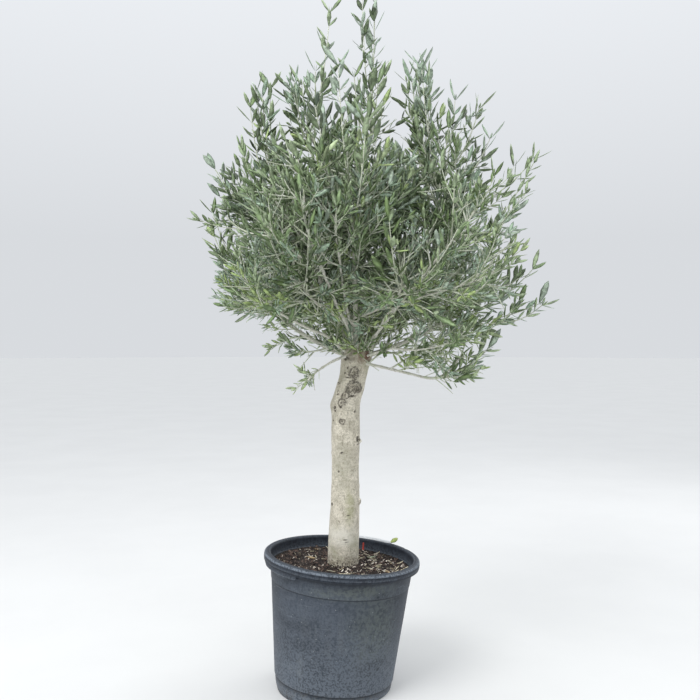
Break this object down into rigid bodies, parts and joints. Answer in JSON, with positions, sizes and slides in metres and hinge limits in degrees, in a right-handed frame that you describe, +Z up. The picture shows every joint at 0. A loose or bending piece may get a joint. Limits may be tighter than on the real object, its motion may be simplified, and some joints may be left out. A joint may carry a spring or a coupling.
{
  "type": "potted olive tree",
  "caption": "Standard olive tree with one clear stem and a loose round head of upright leafy shoots, in a round black nursery pot that leans a little.",
  "frame": {"origin": "centre of the pot's flat underside", "axes": "+Z up along the stem, +X to the right and -Y to the front as pictured"},
  "size_m": [1.223, 1.1594, 2.4479],
  "materials": {
    "pot": "dusty black moulded plastic",
    "compost": "moist dark bark compost",
    "bark": "smooth pale grey bark with knots",
    "bough_bark": "young grey-green bark",
    "foliage": "leathery grey-green leaves with silvery undersides"
  },
  "bodies": {
    "root": {"pot": "pot", "compost": "compost", "trunk": "bark", "bough_left": "bough_bark", "bough_right": "bough_bark", "bough_front": "bough_bark", "bough_back": "bough_bark", "bough_centre": "bough_bark", "bough_left_low": "bough_bark", "bough_right_low": "bough_bark", "bough_right_hanging": "bough_bark", "bough_left_hanging": "bough_bark", "bough_top_left": "bough_bark", "bough_front_left": "bough_bark", "bough_front_right": "bough_bark", "bough_back_left": "bough_bark", "bough_back_right": "bough_bark", "mass_left_low": "foliage", "mass_left_high": "foliage", "mass_top_left": "foliage", "mass_top": "foliage", "mass_right_high": "foliage", "mass_right_low": "foliage", "mass_right_skirt": "foliage", "mass_front_high": "foliage", "mass_front_left": "foliage", "mass_front_right": "foliage", "mass_back_high": "foliage", "mass_back_left": "foliage", "mass_back_right": "foliage"}
  },
  "joints": []
}
